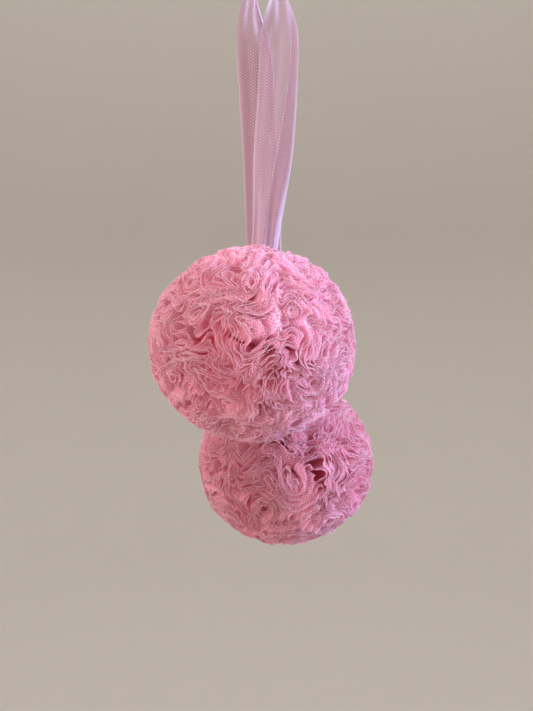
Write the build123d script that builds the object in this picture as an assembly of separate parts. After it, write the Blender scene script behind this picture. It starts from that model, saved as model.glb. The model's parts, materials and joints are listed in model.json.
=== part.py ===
from build123d import *
import math
import os

# Netting back scrubber, in millimetres: one netting ribbon hangs over a hook prong, and a ruffled
# netting puff is tied to each of its ends. The origin is on the prong's axis, +Z is up, -Y is the
# front, and the prong points along Y.

# Ribbon
PRONG_RADIUS = 8.0  # inside radius of the bight that sits on the prong
LAYERS_THICK = 1.2  # the flattened netting tube, bunched over the prong
BIGHT_WIDTH = 26.0  # along the prong
STRAND_GAP = 0.6  # between the bight and a strand's top, so the strand can roll round the prong
STRAND_THICK = 1.6
STRAND_TOP_WIDTH = 16.0  # bunched where it leaves the prong, edge-on to the front
STRAND_MID_WIDTH = 24.0  # opened out, facing the front
STRAND_END_WIDTH = 16.0  # gathered again where it enters the puff
STRAND_OFFSET_Y = 5.0  # the front strand leaves the prong this far forward, the rear one behind
TWIST_LENGTH = 60.0  # the strand turns a quarter turn over this much of its top
TWIST_STEPS = 4
NECK_GAP = 1.2  # half the gap at the bend where the ribbon enters the ruffles
NECK_END = (7.0, 3.4)  # the neck's width and thickness at its lower end

# Puffs
PUFF_RADIUS = 59.5  # round the equator, to the middle of the frill
PUFF_HALF_HEIGHT = 56.0
SHOULDER = 45.0  # degrees up from the equator, where the rounder side meets the flatter top
FRONT_PUFF = Vector(-7.0, -37.0, -234.0)
REAR_PUFF = Vector(15.0, 51.0, -316.0)
BEND_ABOVE_CENTRE = 58.0  # the ribbon bends this far above a puff's centre
FRONT_ENTRY = 5.0  # the ribbon enters the front puff this far right of its axis
REAR_ENTRY = 0.0
NETTING_LENGTHS = 6  # lengths of netting cinched together in one puff
SECTOR_GAP = 0.4  # degrees between neighbouring lengths
FUNNEL_RADIUS = 14.0  # mouth of the dimple that the ribbon goes down
FUNNEL_FLOOR = 38.0  # height of its floor above the centre
BORE_RADIUS = 4.2  # where the netting is pinched round the ribbon's tail

# Tie
TAIL_RADIUS = 3.8
TIE_RING_RADIUS = 7.2
TIE_CORD_RADIUS = 1.2
TIE_CLEARANCE = 0.3
TIE_KNOT_RADIUS = 2.2
TIE_KNOT_REACH = 8.2  # the knot's distance from the puff's axis
END_KNOT_RADIUS = 5.5  # stopper knot in the ribbon, below the tie cord
END_KNOT_DROP = 10.0
POCKET_CLEARANCE = 0.4
LOWER_BORE_RADIUS = 2.0


def save(name, solid):
    solid.label = name
    export_step(solid, f"parts/{name}.step")


def strap_crown():
    """The bight: half a ring over the prong."""
    outer = Cylinder(PRONG_RADIUS + LAYERS_THICK, BIGHT_WIDTH, rotation=(90, 0, 0))
    inner = Cylinder(PRONG_RADIUS, BIGHT_WIDTH, rotation=(90, 0, 0))
    side = 2 * (PRONG_RADIUS + LAYERS_THICK)
    upper_half = Pos(0, 0, side / 2) * Box(side, BIGHT_WIDTH, side)
    return (outer - inner) & upper_half


def section(centre, turn, width, thick):
    """A flat slice through the ribbon: at turn 0 its width lies along X, at turn 90 along Y."""
    return Plane(centre) * Rot(0, 0, turn) * Rectangle(width, thick)


def strand(puff_centre, entry, side):
    """One strand, from beside the prong to the puff's top. side is 1 on the right, -1 on the left."""
    beside = PRONG_RADIUS + LAYERS_THICK + STRAND_GAP + STRAND_THICK / 2
    top = Vector(side * beside, -side * STRAND_OFFSET_Y, 0)
    bottom = puff_centre + Vector(entry, 0, BEND_ABOVE_CENTRE + NECK_GAP)
    length = top.Z - bottom.Z
    slices = []
    for step in range(TWIST_STEPS + 1):
        done = step / TWIST_STEPS
        centre = top + (bottom - top) * (done * TWIST_LENGTH / length)
        width = STRAND_TOP_WIDTH + done * (STRAND_MID_WIDTH - STRAND_TOP_WIDTH)
        slices.append(section(centre, 90 * (1 - done), width, STRAND_THICK))
    slices.append(section(bottom, 0, STRAND_END_WIDTH, STRAND_THICK))
    return loft(slices, ruled=True)


def neck(puff_centre, entry):
    """The gathered stretch of ribbon in the funnel, below the bend."""
    top = puff_centre + Vector(entry, 0, BEND_ABOVE_CENTRE - NECK_GAP)
    bottom = puff_centre + Vector(0, 0, FUNNEL_FLOOR + NECK_GAP)
    upper = section(top, 0, STRAND_END_WIDTH, STRAND_THICK)
    lower = section(bottom, 0, *NECK_END)
    return loft([upper, lower], ruled=True)


def tail(puff_centre):
    """The ribbon's end inside the puff: down through the tie cord to its stopper knot."""
    length = FUNNEL_FLOOR + END_KNOT_DROP
    rod = Pos(0, 0, FUNNEL_FLOOR - length / 2) * Cylinder(TAIL_RADIUS, length)
    knot = Pos(0, 0, -END_KNOT_DROP) * Sphere(END_KNOT_RADIUS)
    return Pos(puff_centre) * (rod + knot)


def tie_knot(radius):
    """A ball at the knot's place on the tie cord, midway round the first length of netting."""
    turn = math.radians(180 / NETTING_LENGTHS)
    place = Pos(TIE_KNOT_REACH * math.cos(turn), TIE_KNOT_REACH * math.sin(turn), 0)
    return place * Sphere(radius)


def tie_cord(puff_centre):
    """The cord that cinches every length at its middle, with its knot."""
    ring = Torus(TIE_RING_RADIUS, TIE_CORD_RADIUS)
    return Pos(puff_centre) * (ring + tie_knot(TIE_KNOT_RADIUS))


def frill():
    """The puff's outline, from its foot round to the funnel's rim: a rounder side, flatter top and bottom."""
    turn = math.radians(SHOULDER)
    shift = (PUFF_RADIUS - PUFF_HALF_HEIGHT) / (math.sin(turn) + math.cos(turn) - 1)
    side_shift = shift * math.cos(turn)
    end_shift = shift * math.sin(turn)
    end_radius = PUFF_HALF_HEIGHT + end_shift
    foot = math.degrees(math.acos(LOWER_BORE_RADIUS / end_radius))
    rim = math.degrees(math.acos(FUNNEL_RADIUS / end_radius))
    bottom = CenterArc((0, end_shift), end_radius, -foot, foot - SHOULDER)
    side = CenterArc((side_shift, 0), PUFF_RADIUS - side_shift, -SHOULDER, 2 * SHOULDER)
    top = CenterArc((0, -end_shift), end_radius, SHOULDER, rim - SHOULDER)
    return [bottom, side, top]


def netting_profile():
    """Half section of the puff: the frill outside, and the funnel, bore and knot pocket inside."""
    outside = frill()
    pocket_radius = END_KNOT_RADIUS + POCKET_CLEARANCE
    inside = Polyline(
        outside[-1] @ 1,
        (BORE_RADIUS, FUNNEL_FLOOR),
        (BORE_RADIUS, pocket_radius - END_KNOT_DROP),
        (pocket_radius, pocket_radius - END_KNOT_DROP),
        (pocket_radius, -pocket_radius - END_KNOT_DROP),
        (LOWER_BORE_RADIUS, -pocket_radius - END_KNOT_DROP),
        outside[0] @ 0,
    )
    outline = make_face([*outside, inside])
    channel = Pos(TIE_RING_RADIUS, 0) * Circle(TIE_CORD_RADIUS + TIE_CLEARANCE)
    return Plane.XZ * (outline - channel)


def netting_lengths(puff_centre):
    """The puff's lengths of netting, each filling its own sector round the cord."""
    arc = 360 / NETTING_LENGTHS
    sector = revolve(netting_profile(), Axis.Z, arc - SECTOR_GAP)
    lengths = [Rot(0, 0, arc * place) * sector for place in range(NETTING_LENGTHS)]
    lengths[0] = lengths[0] - tie_knot(TIE_KNOT_RADIUS + TIE_CLEARANCE)
    return [Pos(puff_centre) * length for length in lengths]


def main():
    os.makedirs("parts", exist_ok=True)
    save("strap_crown", strap_crown())
    puffs = (("front", FRONT_PUFF, FRONT_ENTRY, 1), ("rear", REAR_PUFF, REAR_ENTRY, -1))
    for name, puff_centre, entry, side in puffs:
        save(f"{name}_strand", strand(puff_centre, entry, side))
        save(f"{name}_neck", neck(puff_centre, entry))
        save(f"{name}_tail", tail(puff_centre))
        save(f"{name}_tie_cord", tie_cord(puff_centre))
        for number, length in enumerate(netting_lengths(puff_centre), start=1):
            save(f"{name}_netting_{number}", length)


main()
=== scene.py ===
import json
import math

import bmesh
import bpy
import numpy as np
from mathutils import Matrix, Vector


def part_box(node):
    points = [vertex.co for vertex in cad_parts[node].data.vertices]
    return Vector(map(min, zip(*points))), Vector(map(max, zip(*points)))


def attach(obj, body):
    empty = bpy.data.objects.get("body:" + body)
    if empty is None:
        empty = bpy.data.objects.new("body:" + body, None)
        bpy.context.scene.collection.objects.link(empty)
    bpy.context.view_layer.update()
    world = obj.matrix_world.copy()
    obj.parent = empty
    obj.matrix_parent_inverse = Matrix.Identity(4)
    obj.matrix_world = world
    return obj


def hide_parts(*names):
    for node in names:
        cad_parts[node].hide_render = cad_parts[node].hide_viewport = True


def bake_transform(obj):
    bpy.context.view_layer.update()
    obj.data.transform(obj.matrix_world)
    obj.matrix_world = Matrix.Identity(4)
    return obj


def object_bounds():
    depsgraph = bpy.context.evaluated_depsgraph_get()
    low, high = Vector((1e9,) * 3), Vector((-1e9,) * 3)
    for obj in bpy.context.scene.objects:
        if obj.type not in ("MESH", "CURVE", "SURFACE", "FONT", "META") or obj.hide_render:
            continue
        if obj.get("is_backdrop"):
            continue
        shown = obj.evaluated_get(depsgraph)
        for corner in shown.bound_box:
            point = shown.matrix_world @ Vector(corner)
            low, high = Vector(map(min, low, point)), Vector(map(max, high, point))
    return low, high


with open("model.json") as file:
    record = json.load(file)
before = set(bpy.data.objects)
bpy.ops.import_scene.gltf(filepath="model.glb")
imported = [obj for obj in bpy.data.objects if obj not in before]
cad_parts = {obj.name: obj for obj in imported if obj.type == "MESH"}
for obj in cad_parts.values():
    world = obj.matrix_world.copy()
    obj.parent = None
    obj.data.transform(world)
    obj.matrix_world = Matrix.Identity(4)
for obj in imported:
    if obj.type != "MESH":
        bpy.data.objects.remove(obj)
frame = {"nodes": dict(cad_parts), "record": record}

# Sizes are in metres, in the frame's own axes: X right, Y away from the viewer, Z up.
MM = 0.001
SIDES = ("front", "rear")
LENGTHS_PER_PUFF = 6
LENGTH_ROOM = 1.02  # a length takes at most this many times its even share of the edges
EVEN_PULL = 0.1  # how far, in radians, an edge is drawn towards a length that has more room

# The puffs' ruffles. Their sheets are the level surfaces of one fold function, so before each edge's own
# small stray they don't cross.
RUFFLE_SEEDS = {"front": 14, "rear": 7}
FRILL_PROUD = 1.5 * MM  # the frill's mean radius over the CAD puff's
SHEET_STEP = 3.0 * MM  # from one level to the next, in the fold function's own length
LEVEL_STRAY = 0.22  # how far a level is from its even place, as a share of the step
FOLD_LENGTH = 15 * MM  # from one hairpin to the next
FOLD_REACH = 5 * MM  # how far a hairpin swings to each side
FOLD_DRIFT = 50  # radians a metre: each sheet's hairpins sit a little aside of its neighbour's
SWELL = 0.5  # how much more the hairpins swing in some places than in others
SWELL_LENGTH = 50 * MM
CROSS_FOLD_LENGTH = 31 * MM
CROSS_FOLD_REACH = 5 * MM
WANDER = 8 * MM  # how far the folds are carried off course
WANDER_LENGTH = 36 * MM
CRIMP = 0.9 * MM  # the small waves along an edge
CRIMP_LENGTH = 10 * MM
FLATTENED = 0.6  # the share of a fold's reach that is gone at the gather
LEAN = 9 * MM  # how far a sheet leans over on its way out from the gather
LEAN_LENGTH = 45 * MM
FLOP = 1.8 * MM  # how far its outer part flops over, more in some places than in others
FLOP_DEPTH = 0.10  # over this share of the depth
GATHER_RADIUS = 0.36  # the innermost row's radius, as a share of the frill's
SHEET_ROWS = 10
ROWS_CROWD = 1.8  # above 1, the rows are closer together near the frill
POINT_STEP = 1.25 * MM
BALL_FINENESS = 7  # how often the ball that the edges are found on is subdivided
SLOPE_STEP = 0.02 * MM  # for measuring the fold function's slope
SLOPE_LEAST = 0.15  # added to the slope's square, so that a flat place doesn't throw a point far off
LONGEST_MOVE = 1.2 * MM
SHORTEST_EDGE = 12 * MM
LONGEST_BETWEEN = 70 * MM  # a wide pocket gets a short sheet between two levels
WOBBLE = 0.45 * MM  # how far an edge strays sideways on its own
WOBBLE_LENGTH = 7 * MM
WOBBLE_FADE = 6  # the stray fades away from the edge by this power
EDGE_LEVELS = 0.4 * MM  # how much the sheets differ in how far they stand out
EDGE_WAVE = 0.8 * MM  # how far one edge rises and falls
EDGE_WAVE_LENGTH = 24 * MM
EDGE_SINK = 2.2 * MM  # how deep a sunken stretch of an edge lies
EDGE_SINK_LENGTH = 30 * MM
EDGE_SINK_SHARE = (0.2, 1)  # each sheet sinks by its own share of that depth
EDGE_ROUGHNESS = 0.1 * MM
EDGE_APART = 0.5  # in metres: each edge reads its waves about this far off, so that neighbours differ
THREADS_PER_LENGTH = 2000  # cut thread ends along the edges
THREAD_RADIUS = 0.2 * MM
THREAD_SHORTEST = 0.7 * MM
THREAD_LONGEST = 2.0 * MM
THREAD_LIFT = (0.3, 0.95)  # from nearly flat along the edge to nearly straight out of it
THREAD_CURL = 0.4
THREAD_TAPER = 0.5
THREAD_POINTS = 4
THREAD_SIDES = 3
CORE_RADIUS = 0.62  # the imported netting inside, as a share of the frill's radius
CORE_BUMP = 1.5 * MM
CORE_GRID = (50, 30)  # rows from foot to top, columns round one sector
CORE_OVERLAP = 0.04  # a sector reaches this share of itself into each neighbour
CORE_TOP = 1.45  # radians up and down from the equator
CORE_CELLS = (2.0, 3.0)  # cells of net to a row and to a column
RIM_ROLL = 0.16 * MM  # radius of the bead along an edge
RIM_SIDES = 5
RIM_STEP = 0.4 * MM  # the net runs on by this much from one row of the bead to the next
RIM_BELOW = 0.4  # how pale the last row below the bead is, beside the bead itself
PALE_LEAST = 0.25  # the bead's paleness where it is palest is 1, and where it is least this
PALE_LENGTH = 20 * MM
PALE_MIDDLE = 0.5
PALE_SPREAD = 0.6

# Netting
OPEN_SHARE = 0.8  # of the light that meets a sheet, how much goes through its holes
CELL_ACROSS = 2.9 * MM  # two columns of holes, because every other column sits half a hole lower
CELL_ALONG = 2.05 * MM
DRAWN_IN = 0.78  # the crumpled netting's cells, as a share of the ribbon's
HOLE_RADIUS = 0.34  # half a hole's height, in cells
HOLE_BLUR = 0.06
FOLD_CLOSES = 0.16  # how much smaller the holes are along a fold in the ribbon
FOLD_SHADE_BELOW = 0.45  # a sheet is painted the deep red of shade in the folds up to this share of the way out from the gather

# Colours
FOLD_SHADE_RED = (0.93, 0.14, 0.25, 1)  # painted shade: the netting's pink painted darker and redder, for the shade and bounced red light deep in the folds
# The rim colour is partly a painted highlight: the edge beads are painted paler for their denser rolled
# netting and for the light their outer edges catch.
RUFFLE_COLOURS = {
    "front": {"hole": (0.80, 0.19, 0.31, 1), "thread": (0.90, 0.50, 0.61, 1), "rim": (0.98, 0.64, 0.74, 1)},
    # Painted shade: the rear puff's colours are darker than the front's, for the shade it hangs in behind the
    # front puff.
    "rear": {"hole": (0.73, 0.16, 0.26, 1), "thread": (0.82, 0.42, 0.52, 1), "rim": (0.90, 0.56, 0.65, 1)},
}
RIBBON_PALE = (0.64, 0.41, 0.50, 1)
# Painted shade: the rear strand's duller pink, for the shade it hangs in.
RIBBON_SHADED_PINK = (0.50, 0.25, 0.31, 1)
RIBBON_FOLDED = (0.95, 0.80, 0.90, 1)
CORD_PINK = (0.9, 0.72, 0.78, 1)
SHEEN_TINT = (1.0, 0.78, 0.88, 1)
BACKDROP = (0.59, 0.555, 0.515, 1)
ROOM = (0.9, 0.88, 0.86, 1)
ROOM_STRENGTH = 1.85

# Ribbon
RIBBON_SEED = 5  # the same on both sides, so that the two halves meet on top of the prong
SKIN_ROUND = 62 * MM  # once round the tube of netting that the ribbon is folded from
RIBBON_OPEN = 24.5 * MM
RIBBON_BUNCHED = 16.0 * MM
RIBBON_GATHERED = 16.0 * MM
RIBBON_TIED = 7.0 * MM
RIBBON_COLUMNS = 97
TURN_SHARES = (0, 0.35, 0.51, 0.66, 1)  # where the skin turns back, as shares of the way round it
LAYER_LIFTS = (0, 0, -0.5 * MM, -0.9 * MM, 0)
PUFFED = 0.45 * MM  # half the gap between the front and back of the flattened tube
PLEAT_RIGHT = 0.95  # the pleat's edges, as shares of the ribbon's half width
PLEAT_LEFT_TOP = 0.6
PLEAT_SLANT = 0.95
SLANT_FROM = 0.2  # shares of the way down the strand, here and in the other FROM and OVER values
SLANT_OVER = 0.9
CREASE_AT = -0.5  # a share of the half width
CREASE_WIDTH = 0.13
CREASE_RISE = 1.6 * MM
CREASE_FROM = 0.68
CREASE_OVER = 0.2
TOOTH = 0.6 * MM  # the net's meshes stand out along the ribbon's edges
TOOTH_POWER = 8  # so that only the edges have teeth
BUNCH = 5.0 * MM  # how far the bunched netting waves in and out
BUNCH_LEAST = 0.15 * MM
BUNCH_WAVES = ((1.0, 3.1, 14), (0.6, 7.3, -9))  # strength, radians to a half width, radians to a metre
RIPPLE = (0.25 * MM, 9, 30)  # the finest waves' rise, then the same two
FOLD_LINE_WIDTH = 1.6 * MM
EDGE_LINE = (0.15, 0.4)  # how dense the ribbon's own edges are at the prong, and how much more at the puff
PAINTED_SHADE_BY_SIDE = {"front": 0.0, "rear": 1.0}  # painted shade: the strand behind is painted a duller pink for the shade it hangs in
PAINTED_SHADE_SHARE = 0.2  # the painted shade comes in over this share of the strand
BIGHT_CLEAR = 0.9 * MM  # from the prong to the middle of the layers
BIGHT_STATIONS = 14
STRAND_OFFSET = 5 * MM  # each strand leaves the prong this far from its middle
STAND_OFF = 1.5 * MM  # how much further out a strand hangs than the prong's own side
STATION_STEP = CELL_ALONG / 2
TURN_START = 18 * MM  # a strand starts to turn to the front this far before it leaves the prong
TURN_LENGTH = 45 * MM  # and faces it this far after
GATHER_FROM = 0.6  # a strand narrows from this share of the way down
TIED_STATIONS = 10
BOW = {"front": 2.2 * MM, "rear": -7.0 * MM}  # how far a strand bows to the right
BOW_LOW = {"front": 1.0, "rear": 2.4}  # above 1, the bow is lower down
ENTRY_RIGHT = {"front": 2 * MM, "rear": 0.0}

# Camera
CAMERA_ANGLE = 50.0  # degrees from the picture's top to its bottom
CAMERA_FROM_PUFF = (8.15 * MM, -460 * MM, -6.9 * MM)  # from the front puff's middle

# Backdrop, in metres
FLOOR_BELOW = 0.35
FLOOR_REACH = 1.3
FLOOR_BEND = 0.9
WALL_HEIGHT = 3.2
BEND_POINTS = 16
FLOOR_TURNS = 96


# ---------------------------------------------------------------- numbers

def smooth(value):
    """0 to 1 with flat ends."""
    value = np.clip(value, 0, 1)
    return value * value * (3 - 2 * value)


def unit(vectors):
    return vectors / np.linalg.norm(vectors, axis=-1, keepdims=True)


def soft_field(rng, wavelength, waves=8):
    """A smooth random field over space, about -1.5 to 1.5, with features of that wavelength."""
    directions = unit(rng.normal(size=(waves, 3))) * (2 * math.pi / wavelength)
    phases = rng.uniform(0, 2 * math.pi, waves)
    return lambda points: np.sin(points @ directions.T + phases).sum(1) / math.sqrt(waves / 2)


# ---------------------------------------------------------------- ruffle folds

class Folds:
    """A smooth function of direction and depth, whose level surfaces are the ruffle's sheets."""

    def __init__(self, seed, radius):
        self.rng = np.random.default_rng(seed)
        self.radius = radius
        self.wander = [soft_field(self.rng, WANDER_LENGTH, 10) for _ in range(3)]
        self.lean = [soft_field(self.rng, LEAN_LENGTH, 10) for _ in range(3)]
        self.swell = soft_field(self.rng, SWELL_LENGTH)
        self.crimp = soft_field(self.rng, CRIMP_LENGTH, 14)
        self.axes = np.linalg.qr(self.rng.normal(size=(3, 3)))[0]

    def value(self, directions, depth):
        """depth is 0 at the frill and 1 at the gather, where the folds are flattest."""
        place = directions * self.radius
        leaning = LEAN * depth + FLOP * (1 - math.exp(-depth / FLOP_DEPTH))
        place = place + leaning * np.stack([field(place) for field in self.lean], 1)
        moved = place + WANDER * np.stack([field(place) for field in self.wander], 1)
        along, across, third = (moved @ self.axes).T
        left = 1 - FLATTENED * depth
        reach = FOLD_REACH * left * (1 + SWELL * self.swell(place))
        value = along + reach * np.sin(2 * math.pi * across / FOLD_LENGTH + FOLD_DRIFT * along)
        value += CROSS_FOLD_REACH * left * np.sin(2 * math.pi * third / CROSS_FOLD_LENGTH)
        return value + CRIMP * left**2 * self.crimp(place)

    def settle(self, directions, depth, level, rounds):
        """The directions moved sideways until the fold function has the level's value there."""
        for _ in range(rounds):
            east = unit(np.cross(directions, self.axes[0]) + 1e-9)
            north = np.cross(directions, east)
            here = self.value(directions, depth)
            slope = 0
            for way in (east, north):
                beside = unit(directions + way * SLOPE_STEP / self.radius)
                rise = (self.value(beside, depth) - here) / SLOPE_STEP
                slope = slope + rise[:, None] * way
            steep = (slope**2).sum(1, keepdims=True) + SLOPE_LEAST
            move = (level - here)[:, None] * slope / steep
            size = np.linalg.norm(move, axis=1, keepdims=True) + 1e-12
            move *= np.minimum(1, LONGEST_MOVE / size)
            directions = unit(directions + move / self.radius)
        return directions

    def edges(self):
        """The closed edge of each sheet on the frill, as (level, directions), longest first."""
        points, triangles = ball()
        values = self.value(points, 0)
        lowest = math.floor(values.min() / SHEET_STEP)
        highest = math.ceil(values.max() / SHEET_STEP)
        found = []
        for number in range(2 * lowest, 2 * highest):
            between = number % 2  # every other number is the half level between two sheets
            off = 0 if between else self.rng.uniform(-LEVEL_STRAY, LEVEL_STRAY)
            level = (number / 2 + 0.5 + off) * SHEET_STEP
            for loop in level_loops(points, triangles, values, level):
                loop = evenly(loop, POINT_STEP / self.radius)
                length = len(loop) * POINT_STEP
                if SHORTEST_EDGE < length and not (between and length > LONGEST_BETWEEN):
                    found.append((level, self.settle(loop, 0, level, rounds=3)))
        return sorted(found, key=lambda item: -len(item[1]))


def ball():
    """Points and triangles of a fine ball of radius 1."""
    made = bmesh.new()
    bmesh.ops.create_icosphere(made, subdivisions=BALL_FINENESS, radius=1)
    points = np.array([vertex.co for vertex in made.verts])
    triangles = np.array([[vertex.index for vertex in face.verts] for face in made.faces])
    made.free()
    return unit(points), triangles


def level_loops(points, triangles, values, level):
    """The closed lines on the ball where the values pass the level."""
    above = values > level
    mixed = triangles[above[triangles].any(1) & ~above[triangles].all(1)]
    crossings = []
    for a, b in ((0, 1), (1, 2), (2, 0)):
        low = np.minimum(mixed[:, a], mixed[:, b])
        high = np.maximum(mixed[:, a], mixed[:, b])
        crossings.append(np.where(above[low] != above[high], low * len(points) + high, -1))
    crossings = np.sort(np.stack(crossings, 1), 1)[:, 1:]
    keys, index = np.unique(crossings, return_inverse=True)
    if not len(keys):
        return []
    index = index.reshape(-1, 2)
    low, high = keys // len(points), keys % len(points)
    share = ((level - values[low]) / (values[high] - values[low]))[:, None]
    places = points[low] + (points[high] - points[low]) * share
    order = np.argsort(index.T.ravel(), kind="stable")
    links = index[:, ::-1].T.ravel()[order].reshape(-1, 2).tolist()
    loops, unused = [], np.ones(len(keys), bool)
    for start in range(len(keys)):
        if not unused[start]:
            continue
        chain, last, at = [], -1, start
        while unused[at]:
            unused[at] = False
            chain.append(at)
            ahead = links[at][0] if links[at][0] != last else links[at][1]
            last, at = at, ahead
        loops.append(places[chain])
    return loops


def evenly(loop, step):
    """The closed loop with its points a step apart."""
    closed = np.concatenate([loop, loop[:1]])
    travelled = np.concatenate([[0], np.cumsum(np.linalg.norm(np.diff(closed, axis=0), axis=1))])
    count = max(8, round(travelled[-1] / step))
    wanted = np.linspace(0, travelled[-1], count, endpoint=False)
    return unit(np.stack([np.interp(wanted, travelled, axis) for axis in closed.T], 1))


# ---------------------------------------------------------------- meshes

def grid_object(name, rows, across, along, closed, attributes, material):
    """A mesh of rows by columns, with its net coordinates, in cells, as its UV map."""
    height, width = rows.shape[:2]
    index = np.arange(height * width).reshape(height, width)
    columns = width if closed else width - 1
    left = np.arange(columns)
    right = (left + 1) % width
    corners = [index[:-1, left], index[:-1, right], index[1:, right], index[1:, left]]
    faces = np.stack([corner.ravel() for corner in corners], 1)
    mesh = bpy.data.meshes.new(name)
    mesh.from_pydata(rows.reshape(-1, 3).tolist(), [], faces.tolist())
    mesh.polygons.foreach_set("use_smooth", np.ones(len(faces), bool))
    u = np.stack([across[left], across[left + 1], across[left + 1], across[left]], 1)
    u = np.broadcast_to(u, (height - 1, columns, 4))
    v = np.stack([along[:-1, left], along[:-1, right], along[1:, right], along[1:, left]], 2)
    uv = mesh.uv_layers.new(name="net")
    uv.data.foreach_set("uv", np.stack([u, v], 3).astype(np.float32).ravel())
    for key, values in attributes.items():
        set_values(mesh, key, np.broadcast_to(values, (height, width)))
    return linked(name, mesh, material)


def set_values(mesh, key, values):
    """A value for each point of the mesh, which its material reads."""
    layer = mesh.attributes.new(key, "FLOAT", "POINT")
    layer.data.foreach_set("value", values.astype(np.float32).ravel())


def linked(name, mesh, material):
    """The mesh as an object in the scene."""
    mesh.materials.append(material)
    piece = bpy.data.objects.new(name, mesh)
    bpy.context.scene.collection.objects.link(piece)
    return piece


def puff_place(side):
    """Centre, radius and half height of a CAD puff. Its cord is tied round its middle."""
    boxes = [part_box(f"{side}_netting_{number}") for number in range(1, LENGTHS_PER_PUFF + 1)]
    low = np.min([box[0] for box in boxes], 0)
    high = np.max([box[1] for box in boxes], 0)
    tie_low, tie_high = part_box(f"{side}_tie_cord")
    middle = (tie_low.z + tie_high.z) / 2
    centre = np.array([(low[0] + high[0]) / 2, (low[1] + high[1]) / 2, middle])
    return centre, (high[0] - low[0]) / 2, middle - low[2]


def puff(side, material):
    """The puff's lengths of netting, each a share of the ruffle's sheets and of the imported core."""
    centre, radius, half_height = puff_place(side)
    folds = Folds(RUFFLE_SEEDS[side], radius + FRILL_PROUD)
    squash = np.array([1, 1, half_height / radius])
    shares = shared_out(folds.edges())
    for number, edges in enumerate(shares):
        sheets = [sheet_rows(folds, level, edge) for level, edge in edges]
        points, faces = loose_threads(folds, sheets)
        sheets.append(core_rows(folds, number))
        parts = []
        for sheet in sheets:
            place = sheet["place"] * squash + centre
            shades = {"outward": sheet["outward"], "rim": sheet["rim"]}
            parts.append(grid_object(f"{side}_part", place, sheet["across"], sheet["along"], sheet["closed"],
                                     shades, material))
        parts.append(thread_object(f"{side}_part", points * squash + centre, faces, material))
        piece = joined(parts, f"{side}_ruffle_{number + 1}")
        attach(piece, f"{side}_puff")
        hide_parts(f"{side}_netting_{number + 1}")


def shared_out(edges):
    """The edges in one list for each length: each goes to the sector it is nearest to that still has room."""
    room = LENGTH_ROOM * sum(len(edge) for _, edge in edges) / LENGTHS_PER_PUFF
    shares = [[] for _ in range(LENGTHS_PER_PUFF)]
    used = np.zeros(LENGTHS_PER_PUFF)
    middles = (np.arange(LENGTHS_PER_PUFF) + 0.5) * 2 * math.pi / LENGTHS_PER_PUFF
    for level, edge in edges:
        east = math.atan2(edge[:, 1].mean(), edge[:, 0].mean())
        away = np.abs((middles - east + math.pi) % (2 * math.pi) - math.pi)
        away[used + len(edge) > room] += 10  # more than any real distance, so a full one comes last
        chosen = int(np.argmin(away + used / room * EVEN_PULL))
        shares[chosen].append((level, edge))
        used[chosen] += len(edge)
    return shares


def sheet_rows(folds, level, edge):
    """One sheet, from the gather out to the bead along its edge."""
    depths = np.linspace(0, 1, SHEET_ROWS) ** ROWS_CROWD
    rows = [edge]
    for depth in depths[1:]:
        rows.append(folds.settle(rows[-1], depth, level, rounds=2))
    rows = np.stack(rows[::-1])
    share = 1 - depths[::-1, None]
    height = edge_height(folds, edge * folds.radius)
    inner = GATHER_RADIUS * folds.radius
    reach = inner + (folds.radius + height - inner) * share
    place = rows * reach[:, :, None] + stray(folds, edge)[None] * (share**WOBBLE_FADE)[:, :, None]
    place = np.concatenate([place, rolled_rim(place[-1])])
    extra = len(place) - SHEET_ROWS
    lengths = np.linalg.norm(np.roll(edge, -1, 0) - edge, axis=1) * folds.radius
    across = np.concatenate([[0], np.cumsum(lengths)]) / (CELL_ACROSS * DRAWN_IN)
    across *= max(1, round(across[-1])) / across[-1]
    radial = np.concatenate([reach[:, 0], reach[-1, 0] + np.arange(1, extra + 1) * RIM_STEP])
    blank = np.zeros((1, len(edge)))
    paler = smooth(PALE_MIDDLE + PALE_SPREAD * soft_field(folds.rng, PALE_LENGTH)(edge * folds.radius))
    pale = PALE_LEAST + (1 - PALE_LEAST) * paler
    rim = np.concatenate([np.zeros((SHEET_ROWS - 1, 1)), [[RIM_BELOW]], np.ones((extra, 1))])
    return {
        "place": place,
        "across": across,
        "along": radial[:, None] / (CELL_ALONG * DRAWN_IN) + blank,
        "outward": np.concatenate([share, np.ones((extra, 1))]) + blank,
        "rim": rim * pale,
        "closed": True,
    }


def stray(folds, edge):
    """A small sideways shift of each point of an edge."""
    place = edge * folds.radius
    tangent = unit(np.roll(edge, -1, 0) - np.roll(edge, 1, 0))
    amount = soft_field(folds.rng, WOBBLE_LENGTH)(place) * WOBBLE
    return np.cross(tangent, edge) * amount[:, None]


def edge_height(folds, place):
    """How far the sheet's edge stands over the frill's mean radius. It differs from sheet to sheet."""
    own = place + folds.rng.normal(size=3) * EDGE_APART
    wave = soft_field(folds.rng, EDGE_WAVE_LENGTH)(own)
    sink = smooth(soft_field(folds.rng, EDGE_SINK_LENGTH)(own)) * folds.rng.uniform(*EDGE_SINK_SHARE)
    height = folds.rng.normal() * EDGE_LEVELS + EDGE_WAVE * wave - EDGE_SINK * sink
    return height + folds.rng.normal(size=len(place)) * EDGE_ROUGHNESS


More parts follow.
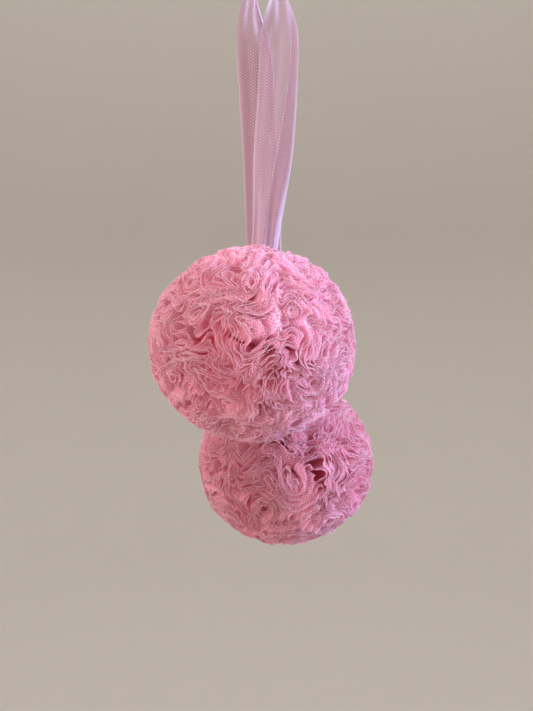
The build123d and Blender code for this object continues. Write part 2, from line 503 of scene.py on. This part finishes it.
def loose_threads(folds, sheets):
    """Short bent thread ends that stand out of the edges, as (points, faces)."""
    rng = folds.rng
    edges = np.concatenate([sheet["place"][SHEET_ROWS] for sheet in sheets])
    start = edges[rng.integers(0, len(edges), THREADS_PER_LENGTH)]
    outward = unit(start)
    aside = unit(np.cross(outward, rng.normal(size=start.shape)))
    curl = unit(np.cross(aside, rng.normal(size=start.shape)))
    spare = THREAD_LONGEST - THREAD_SHORTEST
    length = THREAD_SHORTEST + spare * rng.uniform(size=(len(start), 1)) ** 2
    lift = rng.uniform(*THREAD_LIFT, (len(start), 1))
    along = np.linspace(0, 1, THREAD_POINTS)[:, None, None]
    lines = start + length * (along * (lift * outward + (1 - lift) * aside) + THREAD_CURL * along**2 * curl)
    angles = (np.arange(THREAD_SIDES) * 2 * math.pi / THREAD_SIDES)[:, None, None, None]
    ring = np.cos(angles) * aside + np.sin(angles) * np.cross(outward, aside)
    points = lines + ring * THREAD_RADIUS * (1 - THREAD_TAPER * along)
    points = points.transpose(2, 1, 0, 3).reshape(-1, 3)
    thread = np.arange(len(start))[:, None, None] * THREAD_POINTS
    first = (thread + np.arange(THREAD_POINTS - 1)[:, None]) * THREAD_SIDES
    corner = np.arange(THREAD_SIDES)
    following = (corner + 1) % THREAD_SIDES
    near = [first + corner, first + following]
    corners = near + [near[1] + THREAD_SIDES, near[0] + THREAD_SIDES]
    return points, np.stack([c.ravel() for c in corners], 1)


def core_rows(folds, number):
    """A sector of the netting that is packed round the tie, behind the sheets."""
    height, width = CORE_GRID
    turns = number + np.linspace(-CORE_OVERLAP, 1 + CORE_OVERLAP, width)
    east = turns * 2 * math.pi / LENGTHS_PER_PUFF
    north = np.linspace(-CORE_TOP, CORE_TOP, height)[:, None]
    flat = np.cos(north)
    rows = np.stack([flat * np.cos(east), flat * np.sin(east), np.sin(north) + 0 * east], 2)
    bump = folds.crimp(rows.reshape(-1, 3) * folds.radius).reshape(CORE_GRID)
    reach = folds.radius * CORE_RADIUS + CORE_BUMP * bump
    nothing = np.zeros(CORE_GRID)
    return {
        "place": rows * reach[:, :, None],
        "across": np.arange(width) * CORE_CELLS[1],
        "along": nothing + np.arange(height)[:, None] * CORE_CELLS[0],
        # Painted shade: the core gets the deep fold red all over.
        "outward": nothing,
        "rim": nothing,
        "closed": False,
    }


def thread_object(name, points, faces, material):
    """The loose threads' mesh. They are as pale as the edges' beads."""
    mesh = bpy.data.meshes.new(name)
    mesh.from_pydata(points.tolist(), [], faces.tolist())
    mesh.uv_layers.new(name="net")
    for key in ("outward", "rim"):
        set_values(mesh, key, np.ones(len(points)))
    return linked(name, mesh, material)


def joined(parts, name):
    """The parts as one object, which takes the name."""
    bpy.ops.object.select_all(action="DESELECT")
    for part in parts:
        part.select_set(True)
    bpy.context.view_layer.objects.active = parts[0]
    bpy.ops.object.join()
    parts[0].name = name
    parts[0].data.name = name
    return parts[0]


def rolled_rim(edge):
    """Rows that go once round a fine bead along the netting's outer edge."""
    outward = unit(edge)
    tangent = unit(np.roll(edge, -1, 0) - np.roll(edge, 1, 0))
    side = unit(np.cross(tangent, outward))
    turns = np.radians(np.linspace(-90, 270, RIM_SIDES + 1))
    return np.stack([edge + RIM_ROLL * (np.cos(a) * side + (1 + np.sin(a)) * outward) for a in turns[1:]])


# ---------------------------------------------------------------- materials

class Graph:
    """Short calls for a material's nodes."""

    def __init__(self, name):
        self.material = bpy.data.materials.new(name)
        self.material.use_nodes = True
        self.nodes = self.material.node_tree.nodes
        self.links = self.material.node_tree.links
        self.nodes.clear()

    def node(self, kind, **settings):
        made = self.nodes.new(kind)
        for key, value in settings.items():
            setattr(made, key, value)
        return made

    def put(self, value, socket):
        if isinstance(value, bpy.types.NodeSocket):
            self.links.new(value, socket)
        else:
            socket.default_value = value

    def math(self, operation, *values):
        made = self.node("ShaderNodeMath", operation=operation)
        for value, socket in zip(values, made.inputs):
            self.put(value, socket)
        return made.outputs[0]

    def ramp(self, value, low, high):
        """0 below low, 1 above high, smooth between."""
        made = self.node("ShaderNodeMapRange", interpolation_type="SMOOTHSTEP")
        self.put(value, made.inputs["Value"])
        made.inputs["From Min"].default_value = low
        made.inputs["From Max"].default_value = high
        return made.outputs["Result"]

    def mix_colour(self, share, one, two):
        made = self.node("ShaderNodeMix", data_type="RGBA")
        self.put(share, made.inputs[0])
        self.put(one, made.inputs[6])
        self.put(two, made.inputs[7])
        return made.outputs[2]

    def mix_shader(self, share, one, two):
        made = self.node("ShaderNodeMixShader")
        self.put(share, made.inputs[0])
        self.links.new(one, made.inputs[1])
        self.links.new(two, made.inputs[2])
        return made.outputs[0]

    def attribute(self, name):
        return self.node("ShaderNodeAttribute", attribute_name=name).outputs["Fac"]

    def finish(self, shader):
        out = self.node("ShaderNodeOutputMaterial")
        self.links.new(shader, out.inputs["Surface"])
        return self.material


def net_holes(graph, size):
    """1 in the net's holes and 0 on its threads: upright oval holes, in columns that alternate."""
    uv = graph.node("ShaderNodeUVMap", uv_map="net")
    parts = graph.node("ShaderNodeSeparateXYZ")
    graph.links.new(uv.outputs[0], parts.inputs[0])
    distances = []
    for start in (0.0, 0.5):
        x, y = (
            graph.math("SUBTRACT", graph.math("FRACT", graph.math("ADD", axis, start)), 0.5)
            for axis in parts.outputs[:2]
        )
        x = graph.math("MULTIPLY", x, CELL_ACROSS / CELL_ALONG)
        square = graph.math("ADD", graph.math("MULTIPLY", x, x), graph.math("MULTIPLY", y, y))
        distances.append(graph.math("SQRT", square))
    edge = graph.math("SUBTRACT", graph.math("MINIMUM", *distances), size)
    return graph.ramp(edge, HOLE_BLUR, -HOLE_BLUR)


def thread_shader(graph, colour, translucent, roughness):
    """Soft thread that lets some light through to its other side."""
    cloth = graph.node("ShaderNodeBsdfPrincipled")
    graph.put(colour, cloth.inputs["Base Color"])
    cloth.inputs["Roughness"].default_value = roughness
    cloth.inputs["Specular IOR Level"].default_value = 0.3
    cloth.inputs["Sheen Weight"].default_value = 0.5
    cloth.inputs["Sheen Roughness"].default_value = 0.4
    cloth.inputs["Sheen Tint"].default_value = SHEEN_TINT
    through = graph.node("ShaderNodeBsdfTranslucent")
    graph.put(colour, through.inputs["Color"])
    return graph.mix_shader(translucent, cloth.outputs[0], through.outputs[0])


def ruffle_netting(side):
    """Gathered netting: pale threads over holes painted with the shaded netting behind them, and painted
    redder towards the gather for the shade deep in the folds.
    """
    graph = Graph(f"{side}_netting")
    colours = RUFFLE_COLOURS[side]
    # Painted shade: towards the gather the threads and holes are painted the deep fold red, for the shade and
    # bounced light deep in the folds.
    outside = graph.ramp(graph.attribute("outward"), FOLD_SHADE_BELOW, 1.0)
    threads = graph.mix_colour(outside, FOLD_SHADE_RED, colours["thread"])
    # Painted shade: the holes are painted the darker red of the shaded netting that would show through them.
    behind = graph.mix_colour(outside, FOLD_SHADE_RED, colours["hole"])
    body = graph.mix_colour(net_holes(graph, HOLE_RADIUS), threads, behind)
    # Partly painted highlight: the bead along each edge is painted paler, both for its denser rolled netting
    # and for the light its outer edge catches.
    colour = graph.mix_colour(graph.attribute("rim"), body, colours["rim"])
    cloth = thread_shader(graph, colour, translucent=0.45, roughness=0.55)
    # The camera sees the sheet with its holes drawn, and light passes as if they were open.
    seen = graph.node("ShaderNodeLightPath").outputs["Is Camera Ray"]
    clear = graph.node("ShaderNodeBsdfTransparent")
    open_net = graph.mix_shader(OPEN_SHARE, cloth, clear.outputs[0])
    return graph.finish(graph.mix_shader(seen, open_net, cloth))


def ribbon_netting():
    """Netting that shows what is behind it through its holes. It is denser and paler along a fold, and
    painted duller on the strand behind for the shade there.
    """
    graph = Graph("ribbon_netting")
    fold = graph.attribute("fold")
    size = graph.math("SUBTRACT", HOLE_RADIUS, graph.math("MULTIPLY", fold, FOLD_CLOSES))
    holes = net_holes(graph, size)
    # Painted shade: the rear strand is painted the duller pink, for the shade it hangs in.
    colour = graph.mix_colour(graph.attribute("painted_shade"), RIBBON_PALE, RIBBON_SHADED_PINK)
    colour = graph.mix_colour(fold, colour, RIBBON_FOLDED)
    threads = thread_shader(graph, colour, translucent=0.4, roughness=0.5)
    clear = graph.node("ShaderNodeBsdfTransparent")
    return graph.finish(graph.mix_shader(holes, threads, clear.outputs[0]))


def cord_material():
    graph = Graph("tie_cord_braid")
    return graph.finish(thread_shader(graph, CORD_PINK, translucent=0.1, roughness=0.7))


# ---------------------------------------------------------------- ribbon

def ribbon_stations(side):
    """Stations from the bight's top down to the tie. Each has its centre, width axis, outward normal,
    width and share of the way down the strand, from 0 at the prong to 1 at the puff."""
    sign = 1 if side == "front" else -1
    prong = frame["record"]["mounts"][0]["dims"]["r_mm"] * MM
    radius = prong + BIGHT_CLEAR
    leave_y = -sign * STRAND_OFFSET
    stations = []
    for done in np.linspace(0, 1, BIGHT_STATIONS, endpoint=False):
        angle = math.radians(90 - sign * 90 * done)
        out = np.array([math.cos(angle), 0, math.sin(angle)])
        turn = strand_turn(-TURN_START * (1 - done))
        centre = radius * out + np.array([0, leave_y * smooth(done), 0])
        wide = np.array([math.sin(turn) * sign, math.cos(turn), 0])
        stations.append((centre, wide, out, RIBBON_BUNCHED, 0.0))
    start = np.array([sign * radius, leave_y, 0])
    neck_low, neck_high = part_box(f"{side}_neck")
    puff_centre = puff_place(side)[0]
    gathered_x = (neck_low.x + neck_high.x) / 2
    if side == "front":
        # This neck leans, and its top reaches the right side of its box.
        gathered_x = neck_high.x - RIBBON_GATHERED / 2
    end = np.array([gathered_x + ENTRY_RIGHT[side], (neck_low.y + neck_high.y) / 2, neck_high.z])
    drop = start[2] - end[2]
    for share in np.linspace(0, 1, int(drop / STATION_STEP)):
        fallen = share * drop
        turn = strand_turn(fallen)
        wide = np.array([math.sin(turn), math.cos(turn), 0])
        out = sign * np.array([math.cos(turn), -math.sin(turn), 0])
        centre = start + (end - start) * share
        centre[0] += sign * STAND_OFF * smooth(fallen / TURN_START) * (1 - share)
        centre[0] += BOW[side] * math.sin(math.pi * share ** BOW_LOW[side])
        width = RIBBON_BUNCHED + (RIBBON_OPEN - RIBBON_BUNCHED) * smooth(fallen / TURN_LENGTH)
        width -= (RIBBON_OPEN - RIBBON_GATHERED) * smooth((share - GATHER_FROM) / (1 - GATHER_FROM))
        stations.append((centre, wide, out, width, share))
    centre, wide, out, width, share = stations[-1]
    tie = np.array([puff_centre[0], puff_centre[1], neck_low.z])
    for done in np.linspace(0, 1, TIED_STATIONS + 1)[1:]:
        narrowed = width + (RIBBON_TIED - width) * smooth(done)
        stations.append((centre + (tie - centre) * done, wide, out, narrowed, share))
    return stations


def strand_turn(fallen):
    """The angle that a strand has turned through, from edge-on to facing the front."""
    return math.radians(90) * smooth((fallen + TURN_START) / (TURN_LENGTH + TURN_START))


def ribbon_strip(stations):
    """The flattened tube's skin, with a pleat taken in it behind, and how far down each row is."""
    phases = np.random.default_rng(RIBBON_SEED).uniform(0, 2 * math.pi, 3)
    around = np.linspace(0, 1, RIBBON_COLUMNS)
    layer = np.interp(around, TURN_SHARES, LAYER_LIFTS)
    in_front = around <= TURN_SHARES[1]
    rows, lengths, travelled = [], [0.0], 0.0
    for number, (centre, wide, out, width, share) in enumerate(stations):
        if number:
            travelled += float(np.linalg.norm(centre - stations[number - 1][0]))
            lengths.append(travelled)
        pleat_left = PLEAT_LEFT_TOP - PLEAT_SLANT * smooth((share - SLANT_FROM) / SLANT_OVER)
        across = np.interp(around, TURN_SHARES, (-1, 1, pleat_left, PLEAT_RIGHT, -1))
        slack = smooth(1 - width / RIBBON_OPEN)
        wave = 0
        for (strength, turns, drift), phase in zip(BUNCH_WAVES, phases):
            wave = wave + strength * np.sin(turns * across + phase + drift * travelled)
        rise, turns, drift = RIPPLE
        ripple = rise * np.sin(turns * across + phases[2] + drift * travelled)
        puffed = np.where(in_front, PUFFED, -PUFFED) * np.sqrt(np.clip(1 - across**2, 0, 1))
        crease = np.where(in_front, 1, 0) * CREASE_RISE * smooth((share - CREASE_FROM) / CREASE_OVER)
        crease *= np.exp(-(((across - CREASE_AT) / CREASE_WIDTH) ** 2))
        lift = (BUNCH * slack + BUNCH_LEAST) * wave + ripple + layer + puffed + crease
        tooth = TOOTH * (number % 2) * np.abs(across) ** TOOTH_POWER
        sideways = across * (width / 2) + np.sign(across) * tooth
        rows.append(centre + sideways[:, None] * wide + lift[:, None] * out)
    return np.array(rows), np.array(lengths)


def fold_lines(shares):
    """How much the threads crowd together: most along the pleat's folds, less along the ribbon's
    own edges, and nowhere else."""
    around = np.linspace(0, 1, RIBBON_COLUMNS)
    lines = [1 - smooth(np.abs(around - fold) * SKIN_ROUND / FOLD_LINE_WIDTH) for fold in TURN_SHARES]
    edges = np.max([lines[0], lines[1], lines[4]], 0)
    at_prong, more_at_puff = EDGE_LINE
    return np.maximum(edges * (at_prong + more_at_puff * shares[:, None]), np.max(lines[2:4], 0))


def ribbon(side, material):
    """One half of the ribbon, in an upper and a lower piece."""
    stations = ribbon_stations(side)
    rows, lengths = ribbon_strip(stations)
    half = len(rows) // 2
    shares = np.array([station[4] for station in stations])
    across = np.linspace(0, SKIN_ROUND / CELL_ACROSS, RIBBON_COLUMNS)
    made = []
    for part, span in (("upper", slice(0, half + 1)), ("lower", slice(half, None))):
        along = np.repeat(lengths[span, None] / CELL_ALONG, RIBBON_COLUMNS, 1)
        # Painted shade: the rear strand darkens from the bight down.
        painted_shade = PAINTED_SHADE_BY_SIDE[side] * smooth(shares[span, None] / PAINTED_SHADE_SHARE)
        shades = {"fold": fold_lines(shares[span]), "painted_shade": painted_shade}
        piece = grid_object(f"{side}_ribbon_{part}", rows[span], across, along, False, shades, material)
        made.append(piece)
    upper, lower = made
    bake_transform(upper)
    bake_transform(lower)
    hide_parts(f"{side}_strand")
    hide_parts(f"{side}_neck")


# ---------------------------------------------------------------- camera, light and floor

def camera():
    """The viewer's place: level, square to the wall and a little right of the front puff's middle."""
    centre = puff_place("front")[0]
    data = bpy.data.cameras.new("camera")
    data.sensor_fit = "VERTICAL"
    data.angle = math.radians(CAMERA_ANGLE)
    viewer = bpy.data.objects.new("camera", data)
    viewer.location = centre + np.array(CAMERA_FROM_PUFF)
    viewer.rotation_euler = (math.radians(90), 0, 0)
    bpy.context.scene.collection.objects.link(viewer)
    bpy.context.scene.camera = viewer


def area_light(name, place, target, size, power, colour):
    """A round soft lamp that faces the target."""
    data = bpy.data.lights.new(name, "AREA")
    data.shape = "DISK"
    data.size = size
    data.energy = power
    data.color = colour
    lamp = bpy.data.objects.new(name, data)
    lamp.location = place
    lamp.rotation_euler = (Vector(target) - Vector(place)).to_track_quat("-Z", "Y").to_euler()
    bpy.context.scene.collection.objects.link(lamp)
    return lamp


def lights(backdrop):
    """A cool key from the right and soft lamps on the left and behind. None of them meets the backdrop."""
    middle = (0, 0, -0.25)
    key = area_light("key", (1.4, 0.15, 0.2), middle, size=1.1, power=68, colour=(0.50, 0.69, 1.0))
    fill = area_light("fill", (-1.3, -0.8, 0.0), middle, size=1.2, power=21, colour=(1.0, 0.94, 0.88))
    back = area_light("back", (-0.6, 1.4, 0.1), middle, size=1.2, power=10, colour=(1.0, 0.96, 0.94))
    unlit = bpy.data.collections.new("lit_by_room_only")
    unlit.objects.link(backdrop)
    unlit.collection_objects[0].light_linking.link_state = "EXCLUDE"
    for lamp in (key, fill, back):
        lamp.light_linking.receiver_collection = unlit
    world = bpy.data.worlds.new("room")
    world.use_nodes = True
    world.node_tree.nodes["Background"].inputs["Color"].default_value = ROOM
    world.node_tree.nodes["Background"].inputs["Strength"].default_value = ROOM_STRENGTH
    bpy.context.scene.world = world


def floor():
    """A pale floor that curves up into a plain surround, well clear of the object."""
    graph = Graph("pale_floor")
    paint = graph.node("ShaderNodeBsdfPrincipled")
    paint.inputs["Base Color"].default_value = BACKDROP
    paint.inputs["Roughness"].default_value = 0.9
    graph.finish(paint.outputs[0])
    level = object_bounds()[0].z - FLOOR_BELOW
    profile = [(0.0, level)]
    for angle in np.linspace(0, math.pi / 2, BEND_POINTS):
        radius = FLOOR_REACH + FLOOR_BEND * math.sin(angle)
        profile.append((radius, level + FLOOR_BEND * (1 - math.cos(angle))))
    profile.append((FLOOR_REACH + FLOOR_BEND, level + WALL_HEIGHT))
    points = []
    for radius, height in profile:
        for turn in np.linspace(0, 2 * math.pi, FLOOR_TURNS, endpoint=False):
            points.append((radius * math.cos(turn), radius * math.sin(turn), height))
    faces = []
    for ring in range(len(profile) - 1):
        inner = ring * FLOOR_TURNS
        outer = inner + FLOOR_TURNS
        for turn in range(FLOOR_TURNS):
            following = (turn + 1) % FLOOR_TURNS
            faces.append((inner + turn, inner + following, outer + following, outer + turn))
    mesh = bpy.data.meshes.new("floor")
    mesh.from_pydata(points, [], faces)
    mesh.polygons.foreach_set("use_smooth", [True] * len(faces))
    piece = linked("floor", mesh, graph.material)
    piece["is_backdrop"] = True
    return piece


# ---------------------------------------------------------------- the whole

def main():
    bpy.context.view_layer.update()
    camera()
    netting = {side: ruffle_netting(side) for side in SIDES}
    strap = ribbon_netting()
    cord = cord_material()
    for side in SIDES:
        puff(side, netting[side])
        ribbon(side, strap)
        frame["nodes"][f"{side}_tie_cord"].data.materials[0] = cord
        frame["nodes"][f"{side}_tail"].data.materials[0] = cord
    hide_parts("strap_crown")
    lights(floor())
    bpy.context.scene.view_settings.view_transform = "Standard"
    bpy.context.scene.cycles.transparent_max_bounces = 24


main()
